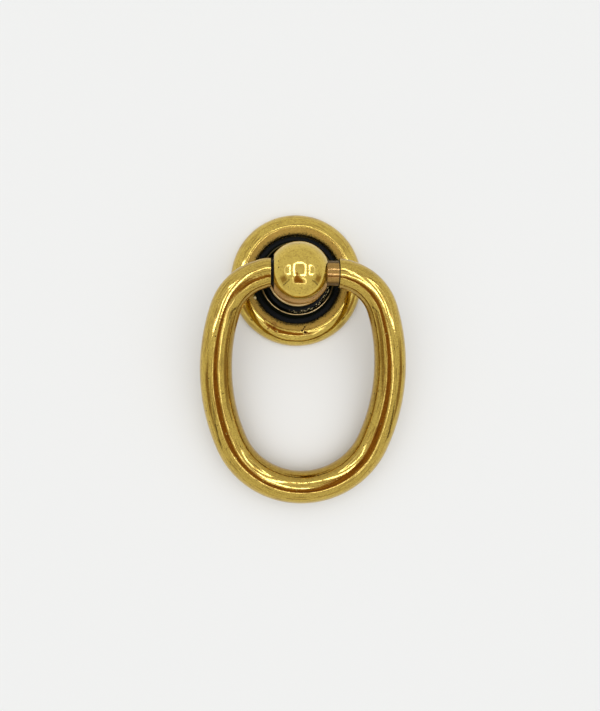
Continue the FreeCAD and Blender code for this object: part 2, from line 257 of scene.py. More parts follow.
def reflected_only(name, corners, faces, strength, tint):
    """A flat glowing card that only reflections see."""
    glow = bpy.data.materials.new(name)
    glow.use_nodes = True
    tree = glow.node_tree
    tree.nodes.clear()
    light = add_node(tree, "ShaderNodeEmission", links={"Color": tint, "Strength": strength})[0]
    add_node(tree, "ShaderNodeOutputMaterial", links={"Surface": light})
    mesh = bpy.data.meshes.new(name)
    mesh.from_pydata([Vector(c) * MM for c in corners], [], faces)
    mesh.materials.append(glow)
    card = bpy.data.objects.new(name, mesh)
    scene.collection.objects.link(card)
    card.visible_camera = False
    card.visible_diffuse = False
    card.visible_shadow = False


def as_seen_from_the_ball(slopes, height):
    """Points at a height, from slopes seen from the ball: across and up over rise."""
    rise = height - BALL_HEIGHT
    return [(across * rise, up * rise, height) for across, up in slopes]


def lamp_strip(name, slopes, width, strength, height=LAMP_HEIGHT):
    """A strip lamp along a bent line, of even width."""
    line = [Vector(point).to_2d() for point in as_seen_from_the_ball(slopes, height)]
    half_width = width * (height - BALL_HEIGHT) / 2
    left, right = [], []
    for i, point in enumerate(line):
        before = (point - line[i - 1]).normalized() if i else (line[1] - point).normalized()
        after = (line[i + 1] - point).normalized() if i + 1 < len(line) else before
        along = (before + after).normalized()
        side = Vector((-along.y, along.x)) * half_width / max(0.5, along.dot(before))
        left.append((*(point + side), height))
        right.append((*(point - side), height))
    count = len(line)
    faces = [(i, i + 1, count + i + 1, count + i) for i in range(count - 1)]
    reflected_only(name, left + right, faces, strength, LAMP_TINT)


print("lamps hang at", LAMP_HEIGHT, "mm and the dark shape at", DARK_HEIGHT, "mm")

# %% Lamp frames
frame_middle = [(-0.24, -0.27), (-0.37, -0.27), (-0.37, 0.40), (-0.22, 0.53)]
frame_middle += [(0.21, 0.53), (0.36, 0.40), (0.36, -0.28), (0.03, -0.28)]
frame_left = [(-1.12, -0.27), (-0.71, -0.23), (-0.71, 0.42), (-1.12, 0.48)]
frame_left_far = [(-1.12, 0.48), (-1.45, 0.38), (-1.50, -0.14), (-1.12, -0.27)]
frame_right = [(1.12, -0.26), (0.68, -0.24), (0.68, 0.40), (1.12, 0.46)]
frame_right_far = [(1.12, 0.46), (1.45, 0.37), (1.50, -0.13), (1.12, -0.26)]
lamp_strip("lamp_frame_middle", frame_middle, 0.075, 7.5)
lamp_strip("lamp_frame_left", frame_left, 0.065, 8.0)
lamp_strip("lamp_frame_left_far", frame_left_far, 0.12, 1.5)
lamp_strip("lamp_frame_right", frame_right, 0.065, 8.0)
lamp_strip("lamp_frame_right_far", frame_right_far, 0.12, 1.5)
print("lamp strips", 5)

# %% Dark shape and its bright edges
DARK_BROWN = (0.38, 0.20, 0.07, 1.0)
CORE_BROWN = (0.30, 0.14, 0.045, 1.0)

dark = [(-0.25, -0.22), (-0.23, -0.09), (-0.13, -0.09), (-0.09, -0.22), (0.0, -0.41), (0.22, -0.62)]
dark += [(0.36, -0.86), (0.36, -0.99), (-0.46, -0.99), (-0.44, -0.60), (-0.34, -0.43)]
core = [(-0.21, -0.34), (-0.13, -0.34), (-0.06, -0.55), (0.14, -0.76), (0.14, -0.93)]
core += [(-0.38, -0.93), (-0.36, -0.60)]
dark_corners = as_seen_from_the_ball(dark, DARK_HEIGHT)
core_corners = as_seen_from_the_ball(core, DARK_HEIGHT - 1)
reflected_only("dark_shape", dark_corners, [tuple(range(len(dark)))], 1.0, DARK_BROWN)
reflected_only("dark_core", core_corners, [tuple(range(len(core)))], 1.0, CORE_BROWN)
edge_top = [(-0.14, -0.28), (0.06, -0.28)]
edge_left = [(-0.52, -0.42), (-0.53, -0.75), (-0.56, -1.05)]
edge_right = [(0.18, -0.48), (0.42, -0.58), (0.52, -0.80), (0.54, -1.35)]
edge_low = [(-0.40, -1.06), (0.44, -1.08)]
lamp_strip("bright_edge_top", edge_top, 0.03, 1.2, DARK_HEIGHT - 2)
lamp_strip("bright_edge_left", edge_left, 0.05, 2.0, DARK_HEIGHT)
lamp_strip("bright_edge_right", edge_right, 0.07, 2.6, DARK_HEIGHT)
lamp_strip("bright_edge_low", edge_low, 0.065, 3.0, DARK_HEIGHT)
print("dark shape with", len(dark), "corners")


# %% [markdown]
# ## Aged brass, black patina and painted light
# The real finish is cast brass that was blackened with a chemical patina and polished bright again
# where a buffing wheel reaches. That gives the eye a warm gold mirror with fine streaks, brown
# clouds and dark casting pits, satin brown brass where the wheel didn't reach, and a deep black in
# the sunk places. Some light and shade is painted into these colours as well. The black also
# paints shade in narrow gaps and a shadow under the ball. The brown and the satin paint darker
# reflections on the ring's inner side and the ball's lower flank, and pale glints paint highlights.
# Every piece shares one tree. Each piece says where it is black, where it is satin, which way its
# streaks run, and where its larger pits and stains lie.

# %% Colours of the finish
BRASS_CLEAN = "#DCBF5D"
BRASS_BROWN = "#8C682A"
BRASS_PINK_SATIN_AND_PAINTED_REFLECTION = "#BF904B"
BRASS_SATIN_GOLD = "#C6A04D"
BRASS_GLINT = "#EBDDA8"
BRASS_TENON = "#A67E49"
BRASS_PIT = "#3A2409"
BRASS_STAIN = "#8A5426"
BLACK_PATINA_AND_SHADE = "#0B0F07"
print("clean brass in linear light", [round(c, 3) for c in colour(BRASS_CLEAN)[:3]])


# %% Places and marks
def millimetres(tree):
    """The object's own coordinates in millimetres."""
    own = add_node(tree, "ShaderNodeTexCoord")["Object"]
    return add_node(tree, VECTOR_MATH, SCALE, {0: own, "Scale": 1000.0})[0]


def radius_from_axis(tree, place):
    """How far a point is from the post's axis, in millimetres."""
    flat = add_node(tree, VECTOR_MATH, MULTIPLY, {0: place, 1: (1.0, 1.0, 0.0)})[0]
    return add_node(tree, VECTOR_MATH, {"operation": "LENGTH"}, {0: flat})["Value"]


def specks(tree, place, marks):
    """A mask of round marks with ragged edges. Each is a place and a radius in millimetres."""
    ragged = add_node(tree, NOISE, links={"Vector": place, "Scale": 4.0, "Detail": 2.0})[0]
    mask = 0.0
    for centre, radius in marks:
        apart = {0: place, 1: centre}
        away = add_node(tree, VECTOR_MATH, {"operation": "DISTANCE"}, apart)["Value"]
        away = add_node(tree, MATH, MULTIPLY_ADD, {0: ragged, 1: radius, 2: away})[0]
        edge = {0: away, 1: 1.1 * radius, 2: 1.7 * radius, 3: 1.0, 4: 0.0}
        mark = add_node(tree, MAP_RANGE, SMOOTH, edge)[0]
        mask = add_node(tree, MATH, GREATER, {0: mask, 1: mark})[0]
    return mask


print("marks with ragged edges are 1.1 to 1.7 times their radius, less the noise")


# %% How brown the skin is
def brown_film(tree, place, mottle, dust, streaks, streakiness, unrubbed_and_shaded):
    """The brown film: clouds some millimetres wide, a mottle, dark dust, and the streaks."""
    clouds = add_node(tree, NOISE, links={"Vector": place, "Scale": 0.5, "Detail": 4.0})[0]
    layers = (
        # the noise, where the brown starts, where it is full, how brown it gets
        (clouds, 0.48, 0.72, 0.36),
        (mottle, 0.50, 0.72, 0.50),
        (dust, 0.46, 0.64, 0.8 * streakiness),
        (streaks, 0.50, 0.66, streakiness),
    )
    patchy = add_node(tree, MAP_RANGE, SMOOTH, {0: mottle, 1: 0.30, 2: 0.60, 3: 0.6, 4: 1.0})[0]
    # On the ring the unrubbed places include its inner side, whose brown is partly painted shade.
    brown = add_node(tree, MATH, MULTIPLY, {0: unrubbed_and_shaded, 1: patchy})[0]
    for value, start, full, most in layers:
        reach = {0: value, 1: start, 2: full, 3: 0.0, 4: most}
        layer = add_node(tree, MAP_RANGE, SMOOTH, reach)[0]
        brown = add_node(tree, MATH, GREATER, {0: brown, 1: layer})[0]
    return brown


print("the brown film has four layers and the places that the wheel didn't rub")


# %% Casting pits
def casting_pits(tree, place, pits):
    """Fine pits up to 0.2 mm across, in two cells of five, and the larger ones."""
    cells = add_node(tree, "ShaderNodeTexVoronoi", links={"Vector": place, "Scale": 1.6})
    luck = add_node(tree, "ShaderNodeSeparateColor", links={0: cells["Color"]})[0]
    reach = add_node(tree, MAP_RANGE, links={0: luck, 1: 0.60, 2: 1.0, 3: 0.0, 4: 0.22})[0]
    depth = add_node(tree, MATH, SUBTRACT, {0: reach, 1: cells["Distance"]})[0]
    fine = add_node(tree, MAP_RANGE, SMOOTH, {0: depth, 1: -0.02, 2: 0.05})[0]
    return add_node(tree, MATH, GREATER, {0: fine, 1: specks(tree, place, pits)})[0]


print("a cell of the fine pits is about", round(1 / 1.6, 2), "mm wide")

# %% Relief of the skin
TOOLING_HEIGHT = 3.0
PIT_HEIGHT = -3.0
BUMP_STRENGTH = 0.6


def skin_relief(tree, place, mottle, streaks, streakiness, dull, pit, relief_mm):
    """Cast grain under the polish, the streaks, the satin's tooling grain, and the pits."""
    relief = add_node(tree, NOISE, links={"Vector": place, "Scale": 3.0, "Detail": 2.0})[0]
    tooling = add_node(tree, MATH, MULTIPLY, {0: dull, 1: mottle})[0]
    for form, height in ((streaks, streakiness), (tooling, TOOLING_HEIGHT), (pit, PIT_HEIGHT)):
        relief = add_node(tree, MATH, MULTIPLY_ADD, {0: form, 1: height, 2: relief})[0]
    raised = {"Height": relief, "Strength": BUMP_STRENGTH, "Distance": relief_mm * MM}
    return add_node(tree, "ShaderNodeBump", links=raised)[0]


print("a pit goes", -PIT_HEIGHT, "times as deep as the cast grain stands")

# %% The finish that every piece shares
WORN_ROUGHNESS = 0.30
BLACK_ROUGHNESS = 0.40
DULL_SPECULAR = 0.09


def aged_brass(
    name,
    streak_place,
    black_mask,
    satin_mask,
    pits,
    streakiness,
    relief_mm,
    satin,
    polish,
    stains=(),
    brown_and_shade=None,
    glints=None,
):
    """Polished aged brass.

    streak_place gives the coordinates in which the streaks run. black_mask, satin_mask,
    brown_and_shade and glints give masks. The black is patina, and painted shade in narrow gaps and
    under the ball.
    The brown is partly painted shade on the ring's inner side. The satin is partly a painted
    reflection on the ball's lower flank, and the glints are painted highlights. satin holds the
    satin places' colour and roughness, and how far their oxide hides the metal. polish is the
    roughness of bright brass, relief_mm the relief's height.
    """
    material = bpy.data.materials.new(name)
    material.use_nodes = True
    tree = material.node_tree
    tree.nodes.clear()
    place = millimetres(tree)

    # A mottle of 0.4 mm, dust of 0.15 mm, and polishing streaks about 0.2 mm wide.
    mottle = add_node(tree, NOISE, links={"Vector": place, "Scale": 2.6, "Detail": 4.0})[0]
    dust = add_node(tree, NOISE, links={"Vector": place, "Scale": 6.0, "Detail": 2.0})[0]
    lengthwise = {"Vector": streak_place(tree, place), "Scale": 1.0, "Detail": 2.0}
    streaks = add_node(tree, NOISE, links=lengthwise)[0]

    unrubbed_and_shaded = brown_and_shade(tree, place) if brown_and_shade else 0.0
    brown = brown_film(tree, place, mottle, dust, streaks, streakiness, unrubbed_and_shaded)
    pit = casting_pits(tree, place, pits)
    dull = satin_mask(tree, place)
    black = black_mask(tree, place)
    glint = glints(tree, place) if glints else 0.0
    satin_hex, satin_roughness, satin_film = satin

    # Colours, laid over each other from the clean brass up.
    dusty = add_node(tree, MAP_RANGE, SMOOTH, {0: dust, 1: 0.45, 2: 0.70, 3: 0.0, 4: 0.6})[0]
    dulled = add_node(tree, MATH, MULTIPLY, {0: dull, 1: dusty})[0]
    soaked = add_node(tree, MAP_RANGE, SMOOTH, {0: mottle, 1: 0.35, 2: 0.65, 3: 0.0, 4: 0.8})[0]
    stain = add_node(tree, MATH, MULTIPLY, {0: specks(tree, place, stains), 1: soaked})[0]
    coats = (
        (brown, BRASS_BROWN),
        (dull, satin_hex),
        (dulled, BRASS_BROWN),
        (stain, BRASS_STAIN),
        (pit, BRASS_PIT),
        (glint, BRASS_GLINT),
        (black, BLACK_PATINA_AND_SHADE),
    )
    skin = colour(BRASS_CLEAN)
    for mask, coat in coats:
        skin = add_node(tree, MIX, OF_COLOURS, {0: mask, 6: skin, 7: colour(coat)})[2]

    # The black, patina and painted shade alike, and the painted glints are no metal to the eye, and
    # the satin's film of oxide is partly one.
    film = add_node(tree, MAP_RANGE, SMOOTH, {0: dull, 1: 0.0, 2: 1.0, 3: 0.0, 4: satin_film})[0]
    for mask in (black, glint):
        film = add_node(tree, MATH, GREATER, {0: film, 1: mask})[0]
    metal = add_node(tree, MATH, SUBTRACT, {0: 1.0, 1: film})[0]

    soiled = add_node(tree, MAP_RANGE, SMOOTH, {0: brown, 1: 0.0, 2: 1.0, 3: 0.0, 4: 0.3})[0]
    worn = add_node(tree, MATH, GREATER, {0: pit, 1: soiled})[0]
    rough = polish
    for mask, most in ((worn, WORN_ROUGHNESS), (dull, satin_roughness), (black, BLACK_ROUGHNESS)):
        rough = add_node(tree, MAP_RANGE, SMOOTH, {0: mask, 1: 0.0, 2: 1.0, 3: rough, 4: most})[0]

    relief = skin_relief(tree, place, mottle, streaks, streakiness, dull, pit, relief_mm)
    looks = {"Base Color": skin, "Metallic": metal, "Roughness": rough, "Normal": relief}
    looks["Specular IOR Level"] = DULL_SPECULAR
    surface = add_node(tree, "ShaderNodeBsdfPrincipled", links=looks)[0]
    add_node(tree, "ShaderNodeOutputMaterial", links={"Surface": surface})
    print(name, len(tree.nodes), "nodes")
    return material


print("roughness of worn brass", WORN_ROUGHNESS, "and of the black", BLACK_ROUGHNESS)


# %% [markdown]
# ## Turned shapes
# The rosette and the post were turned, so each is a section carried round an axis. A function
# makes the ring of points for every corner of the section, which gives even quads that hold a
# clean highlight. A second function may push each point, for the thread, dents and uneven polish.

# %% Turning a section into a mesh
def arc(centre, radius, start, end, steps):
    """Points on an arc of a section, from one angle in degrees to another."""
    angles = [math.radians(start + (end - start) * i / steps) for i in range(steps + 1)]
    return [(centre[0] + radius * math.cos(a), centre[1] + radius * math.sin(a)) for a in angles]


def turn_section(name, section, around, push):
    """A closed solid of revolution about Z from (radius, height) pairs in millimetres."""
    mesh = bmesh.new()
    rings = []
    for radius, height in section:
        if radius < 1e-6:
            rings.append([mesh.verts.new((0.0, 0.0, height))])
            continue
        ring = []
        for step in range(around):
            angle = 2 * math.pi * step / around
            point = Vector((radius * math.cos(angle), radius * math.sin(angle), height))
            ring.append(mesh.verts.new(push(point, angle)))
        rings.append(ring)
    for one, two in zip(rings, rings[1:] + rings[:1]):
        if len(one) == 1 and len(two) == 1:
            continue
        for step in range(around):
            after = (step + 1) % around
            if len(one) == 1:
                mesh.faces.new((one[0], two[after], two[step]))
            elif len(two) == 1:
                mesh.faces.new((one[step], one[after], two[0]))
            else:
                mesh.faces.new((one[step], one[after], two[after], two[step]))
    bmesh.ops.recalc_face_normals(mesh, faces=mesh.faces)
    result = bpy.data.meshes.new(name)
    mesh.to_mesh(result)
    mesh.free()
    print(name, len(section), "corners turned into", len(result.polygons), "faces")
    return result


# %% Shading a mesh and putting it in place
def smooth_but_sharp(mesh, degrees):
    """Shades the mesh smooth, apart from edges that fold by more than the angle."""
    work = bmesh.new()
    work.from_mesh(mesh)
    for face in work.faces:
        face.smooth = True
    for edge in work.edges:
        edge.smooth = edge.is_manifold and edge.calc_face_angle() < math.radians(degrees)
    work.to_mesh(mesh)
    work.free()
    print(mesh.name, "is sharp where it folds by", degrees, "degrees")


def place_piece(name, mesh, material, body, node):
    """Puts a finished mesh in the scene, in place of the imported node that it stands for."""
    mesh.name = name
    mesh.materials.clear()
    mesh.materials.append(material)
    piece = bpy.data.objects.new(name, mesh)
    scene.collection.objects.link(piece)
    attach(piece, body)
    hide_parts(node)
    print(name, len(mesh.vertices), "points", len(mesh.polygons), "faces")


# %% [markdown]
# ## Rosette
# The rosette is a round plate with a sunk middle that was left black. Its rim is round outside
# and slopes gently inside. The rim is not quite even: hand polishing left it a few hundredths of
# a millimetre wavy, which bends the lamp lines, and the photograph shows a nick across the lower
# rim. Both are real relief here.

# %% Unevenness of the rim
ROSETTE_MARKS = (
    # across, up, half width, half length, turn in degrees, depth
    (1.28, -9.70, 0.13, 0.50, 55.0, 0.07),
    (1.61, -10.44, 0.20, 0.20, 0.0, 0.07),
    (-3.97, -10.25, 0.15, 0.15, 0.0, 0.05),
)
RIM_STARTS = 8.8
RIM_CREST = 10.2


def rosette_relief(point, angle):
    """Uneven polish and the marks on the rim."""
    reach = point.xy.length
    if point.z < 0.3 or reach < RIM_STARTS:
        return point
    wave = noise.noise(point * 0.45) * 0.018 + noise.noise(point * 1.3) * 0.005
    drop = wave - 0.02
    for across, up, half_width, half_length, turn, depth in ROSETTE_MARKS:
        away = Matrix.Rotation(math.radians(-turn), 2) @ (point.xy - Vector((across, up)))
        drop -= depth * math.exp(-((away.y / half_width) ** 2) - (away.x / half_length) ** 2)
    outward = Vector((point.x, point.y, 0.0)).normalized() * (reach - RIM_CREST) / 2.8
    upward = Vector((0.0, 0.0, 0.35 + max(0.0, point.z - 0.9) / 2.6))
    return point + (outward + upward).normalized() * drop


print("marks on the rim", len(ROSETTE_MARKS))

# %% Rosette mesh
section = [(3.05, 1.55), (3.1, 1.6), (5.5, 1.6), (8.5, 1.6)]
section += arc((8.5, 1.8), 0.2, -90, 0, 4)
section += [(8.7, 2.2), (8.7, 2.6)]
section += arc((8.86, 2.744), 0.16, 180, 112.6, 5)
section += [(9.2, 3.058), (9.6, 3.225), (10.0, 3.391)]
section += arc((10.2, 2.995), 0.49, 112.6, 83.3, 8)
section += arc((9.9, 0.42), 3.1, 82.0, 0, 40)
section += [(13.0, 0.3)]
section += arc((12.8, 0.2), 0.2, 0, -90, 4)
section += [(11.0, 0.0), (8.0, 0.0), (5.0, 0.0), (3.1, 0.0), (3.05, 0.05)]
rosette_mesh = turn_section("rosette_skin", section, 480, rosette_relief)
rosette_mesh.transform(Matrix.Scale(MM, 4))
smooth_but_sharp(rosette_mesh, 40)


# %% Streaks and edges that go round the axis
def round_the_axis(tree, place):
    """Streaks that run round the axis: fast across them, slow along them, with no seam."""
    unit = add_node(tree, VECTOR_MATH, TO_LENGTH_ONE, {0: place})[0]
    slow = add_node(tree, VECTOR_MATH, MULTIPLY, {0: unit, 1: (5.0, 5.0, 0.0)})[0]
    fast = add_node(tree, MATH, MULTIPLY, {0: radius_from_axis(tree, place), 1: 4.0})[0]
    lift = add_node(tree, JOIN, links={"Z": fast})[0]
    return add_node(tree, VECTOR_MATH, ADD, {0: slow, 1: lift})[0]


def feathered_radius(tree, place, amount):
    """The distance from the axis with a ragged wander, for edges that were rubbed by hand."""
    ragged = add_node(tree, NOISE, links={"Vector": place, "Scale": 4.5, "Detail": 5.0})[0]
    wander = add_node(tree, MATH, SUBTRACT, {0: ragged, 1: 0.5})[0]
    radius = radius_from_axis(tree, place)
    return add_node(tree, MATH, MULTIPLY_ADD, {0: wander, 1: amount, 2: radius})[0]


print("streaks round the axis are about", 1 / 4, "mm apart")

# %% Rosette's black, satin and painted glint
BLACK_STARTS_TO_FADE = 8.58
BLACK_ENDS_BELOW = 9.48
BLACK_ENDS_ABOVE = 9.32
SATIN_ENDS = (9.85, 10.15)
ROSETTE_PAINTED_GLINT = (((-8.11, -3.74, 2.85), 0.32),)


def rosette_glints(tree, place):
    """A painted glint: a pale spot on the lip of the sunk middle, painted as a highlight."""
    return specks(tree, place, ROSETTE_PAINTED_GLINT)


def rosette_black(tree, place):
    """Black in the sunk middle, with a feathered edge where the rim's slope starts."""
    part = add_node(tree, SPLIT, links={0: place})
    ends = {0: part["Y"], 1: -8.0, 2: 3.0, 3: BLACK_ENDS_BELOW, 4: BLACK_ENDS_ABOVE}
    last = add_node(tree, MAP_RANGE, SMOOTH, ends)[0]
    radius = feathered_radius(tree, place, 1.7)
    fading = {0: radius, 1: BLACK_STARTS_TO_FADE, 2: last, 3: 1.0, 4: 0.0}
    sunk = add_node(tree, MAP_RANGE, SMOOTH, fading)[0]
    front = add_node(tree, MAP_RANGE, SMOOTH, {0: part["Z"], 1: 0.4, 2: 0.6})[0]
    # The painted glint is kept clear of the black.
    highlighted = rosette_glints(tree, place)
    covered = add_node(tree, MAP_RANGE, SMOOTH, {0: highlighted, 1: 0.0, 2: 1.0, 3: 1.0, 4: 0.0})[0]
    black = add_node(tree, MATH, MULTIPLY, {0: sunk, 1: front})[0]
    return add_node(tree, MATH, MULTIPLY, {0: black, 1: covered})[0]


def rosette_satin(tree, place):
    """The rim's inner slope, which the buffing wheel hardly touched."""
    height = add_node(tree, SPLIT, links={0: place})["Z"]
    radius = feathered_radius(tree, place, 0.5)
    start, end = SATIN_ENDS
    slope = add_node(tree, MAP_RANGE, SMOOTH, {0: radius, 1: start, 2: end, 3: 0.9, 4: 0.0})[0]
    front = add_node(tree, MAP_RANGE, SMOOTH, {0: height, 1: 0.4, 2: 0.6})[0]
    return add_node(tree, MATH, MULTIPLY, {0: slope, 1: front})[0]


print("the black fades from", BLACK_STARTS_TO_FADE, "to", BLACK_ENDS_BELOW, "mm off the axis")

# %% Rosette finish
ROSETTE_PITS = (
    ((1.54, -9.32, 3.15), 0.22),
    ((1.30, -9.70, 3.28), 0.18),
    ((1.01, -10.07, 3.40), 0.27),
    ((1.61, -10.44, 3.42), 0.33),
    ((2.10, -10.70, 3.42), 0.13),
    ((-3.97, -10.25, 3.42), 0.20),
    ((7.10, -7.10, 3.4), 0.16),
    ((-9.10, 6.00, 3.4), 0.14),
)
ROSETTE_STAINS = (
    ((-4.5, -9.1, 3.2), 0.8),
    ((-6.3, -8.0, 3.2), 0.45),
    ((-5.5, -9.3, 3.2), 0.6),
    ((-3.0, -9.8, 3.2), 0.4),
)
rosette_brass = aged_brass(
    "turned_aged_brass_with_black_middle",
    round_the_axis,
    rosette_black,
    rosette_satin,
    ROSETTE_PITS,
    streakiness=0.6,
    relief_mm=0.009,
    satin=(BRASS_SATIN_GOLD, 0.36, 0.95),
    polish=0.07,
    stains=ROSETTE_STAINS,
    glints=rosette_glints,
)
place_piece("rosette_dressed", rosette_mesh, rosette_brass, "base", "rosette")

# %% [markdown]
# ## Post with a ball head
# The post was turned with its foot, bead, dish and neck, and the ball was spot-faced on both
# sides and drilled across. The turned part and the ball are two solids of revolution about
# different axes, so each is made on its own axis and a boolean joins them, as the real cut does.
# The screw hole has a true helical thread: the hole's radius follows the turn and the height.

# %% Threaded screw hole
THREAD_PITCH = 0.7
HOLE_RADIUS = 1.65
THREAD_DEPTH = 0.36
HOLE_DEPTH = 6.5
THREAD_END = HOLE_DEPTH - 0.2
HOLE_STEPS = 94


def thread_push(point, angle):
    """Cuts the thread where the section is the screw hole's wall."""
    reach = point.xy.length
    if not (reach < HOLE_RADIUS + 0.01 and 0.02 < point.z < THREAD_END):
        return point
    phase = (point.z / THREAD_PITCH - angle / (2 * math.pi)) % 1.0
    groove = 1.0 - abs(2.0 * phase - 1.0)
    fade = min(1.0, (THREAD_END - point.z) / THREAD_PITCH)
    cut = THREAD_DEPTH * min(1.0, max(0.0, groove * 1.25 - 0.12)) * fade
    mouth = max(0.0, 0.35 - point.z)
    wider = (reach + max(cut, mouth)) / reach
    return Vector((point.x * wider, point.y * wider, point.z))


print("thread turns", round(HOLE_DEPTH / THREAD_PITCH, 1))

# %% Turned part of the post
section = [(0.0, 7.45), (HOLE_RADIUS * 0.6, 6.85), (HOLE_RADIUS, HOLE_DEPTH)]
for i in range(1, HOLE_STEPS):
    section.append((HOLE_RADIUS, HOLE_DEPTH - HOLE_DEPTH * i / HOLE_STEPS))
section += [(HOLE_RADIUS + THREAD_DEPTH, 0.0), (2.9, 0.0), (3.0, 0.1), (3.0, 1.6)]
section += [(7.6, 1.6), (7.65, 1.65), (7.65, 2.48), (7.6, 2.56), (7.28, 2.89), (7.22, 2.98)]
section += arc((7.0, 3.83), 0.22, 0, 180, 12)
section += [(6.78, 3.62), (6.75, 3.55), (6.36, 3.16), (6.28, 3.1)]
section += [(5.8, 3.1), (5.65, 3.2), (5.65, 4.6)]
section += arc((5.3, 6.567), 0.35, 0, 90, 8)
section += [(4.42, 6.917), (4.35, 6.98), (4.35, 8.6), (0.0, 8.6)]
post_mesh = turn_section("post_turned", section, 192, thread_push)

# %% Ball with spot faces and a cross bore
BALL_RADIUS = 5.7
FLAT_LEFT = 4.62
FLAT_RIGHT = 5.0
BORE = 2.275
BORE_CHAMFER = 0.08
EDGE_BREAK = 0.06
EDGE_BREAK_DEGREES = 0.6


def ball_relief(point, angle):
    """The ball is a hundredth of a millimetre uneven, as hand polishing leaves it."""
    if point.length < BALL_RADIUS - 0.1:
        return point
    return point * (1.0 - 0.0012 + noise.noise(point * 0.5) * 0.0022)


angle_left = math.degrees(math.asin(FLAT_LEFT / BALL_RADIUS)) - EDGE_BREAK_DEGREES
angle_right = math.degrees(math.asin(FLAT_RIGHT / BALL_RADIUS)) - EDGE_BREAK_DEGREES
section = [(math.sqrt(BALL_RADIUS**2 - FLAT_LEFT**2) - EDGE_BREAK, -FLAT_LEFT)]
section += arc((0.0, 0.0), BALL_RADIUS, -angle_left, angle_right, 96)
section += [(math.sqrt(BALL_RADIUS**2 - FLAT_RIGHT**2) - EDGE_BREAK, FLAT_RIGHT)]
section += [(BORE + BORE_CHAMFER, FLAT_RIGHT), (BORE, FLAT_RIGHT - BORE_CHAMFER)]
section += [(BORE, BORE_CHAMFER - FLAT_LEFT), (BORE + BORE_CHAMFER, -FLAT_LEFT)]
ball_mesh = turn_section("ball_turned", section, 192, ball_relief)
lying = Matrix.Rotation(math.radians(90), 4, "Y")
ball_mesh.transform(Matrix.Translation((0.0, 0.0, BALL_HEIGHT)) @ lying)

# %% Joining ball and post
post = bpy.data.objects.new("post_turned", post_mesh)
ball = bpy.data.objects.new("ball_turned", ball_mesh)
scene.collection.objects.link(post)
scene.collection.objects.link(ball)
join = post.modifiers.new("join", "BOOLEAN")
join.operation = "UNION"
join.solver = "EXACT"
join.object = ball
graph = bpy.context.evaluated_depsgraph_get()
whole_post = bpy.data.meshes.new_from_object(post.evaluated_get(graph))
for leftover in (post, ball):
    bpy.data.objects.remove(leftover)
whole_post.transform(Matrix.Scale(MM, 4))
smooth_but_sharp(whole_post, 35)


# %% Painted highlights and the rubbed bead on the post
def even_place(tree, place):
    """The ball was buffed on all sides, so its streaks run nowhere."""
    return add_node(tree, VECTOR_MATH, SCALE, {0: place, "Scale": 1.5})[0]


def bead_wear_and_highlight(tree, place):
    """The bead's crest, which shows brass in patches, most at the lower left. The patina is rubbed
    off there, and the brass is painted paler as a highlight, strongest at the lower left.
    """
    height = add_node(tree, SPLIT, links={0: place})["Z"]
    raised = add_node(tree, MAP_RANGE, SMOOTH, {0: height, 1: 3.98, 2: 4.02})[0]
    bead = soft_band(tree, radius_from_axis(tree, place), 6.92, 7.10, 0.03)
    crest = add_node(tree, MATH, MULTIPLY, {0: raised, 1: bead})[0]
    ragged = add_node(tree, NOISE, links={"Vector": place, "Scale": 2.0, "Detail": 4.0})[0]
    rubbed = add_node(tree, MAP_RANGE, SMOOTH, {0: ragged, 1: 0.28, 2: 0.48, 3: 0.5, 4: 1.0})[0]
    lower = add_node(tree, VECTOR_MATH, DOT, {0: place, 1: (-0.15, -1.0, 0.0)})["Value"]
    most = add_node(tree, MAP_RANGE, SMOOTH, {0: lower, 1: 0.5, 2: 6.0, 3: 0.12, 4: 0.95})[0]
    patches = add_node(tree, MATH, MULTIPLY, {0: rubbed, 1: most})[0]
    return add_node(tree, MATH, MULTIPLY, {0: crest, 1: patches})[0]


def painted_grain_sparkles(tree, place):
    """Raised grains where the dish's rough floor meets the bead, which catch the light below.
    Their sparkle is a painted highlight, pale and no metal.
    """
    grains = add_node(tree, NOISE, links={"Vector": place, "Scale": 3.4, "Detail": 1.0})[0]
    raised = add_node(tree, MAP_RANGE, SMOOTH, {0: grains, 1: 0.52, 2: 0.60})[0]
    lower = add_node(tree, VECTOR_MATH, DOT, {0: place, 1: (0.09, -0.11, 0.0)})["Value"]
    below = add_node(tree, MAP_RANGE, SMOOTH, {0: lower, 1: 0.48, 2: 0.66})[0]
    edge = soft_band(tree, radius_from_axis(tree, place), 6.15, 6.62, 0.08)
    edge = add_node(tree, MATH, MULTIPLY, {0: edge, 1: below})[0]
    return add_node(tree, MATH, MULTIPLY, {0: edge, 1: raised})[0]


def painted_neck_highlight(tree, place):
    """A painted highlight on the neck's rounded edge, at the lower left."""
    height = add_node(tree, SPLIT, links={0: place})["Z"]
    lower_left = add_node(tree, VECTOR_MATH, DOT, {0: place, 1: (-1.0, -0.9, 0.0)})["Value"]
    neck = soft_band(tree, radius_from_axis(tree, place), 5.38, 5.62, 0.04)
    limits = (
        # the value, from, to, the mask there and here
        (height, 6.5, 6.6, 0.0, 1.0),
        (lower_left, 1.5, 5.0, 0.0, 0.6),
        (height, 7.2, 7.3, 1.0, 0.0),
    )
    for value, start, end, first, last in limits:
        reach = {0: value, 1: start, 2: end, 3: first, 4: last}
        limit = add_node(tree, MAP_RANGE, SMOOTH, reach)[0]
        neck = add_node(tree, MATH, MULTIPLY, {0: neck, 1: limit})[0]
    return neck


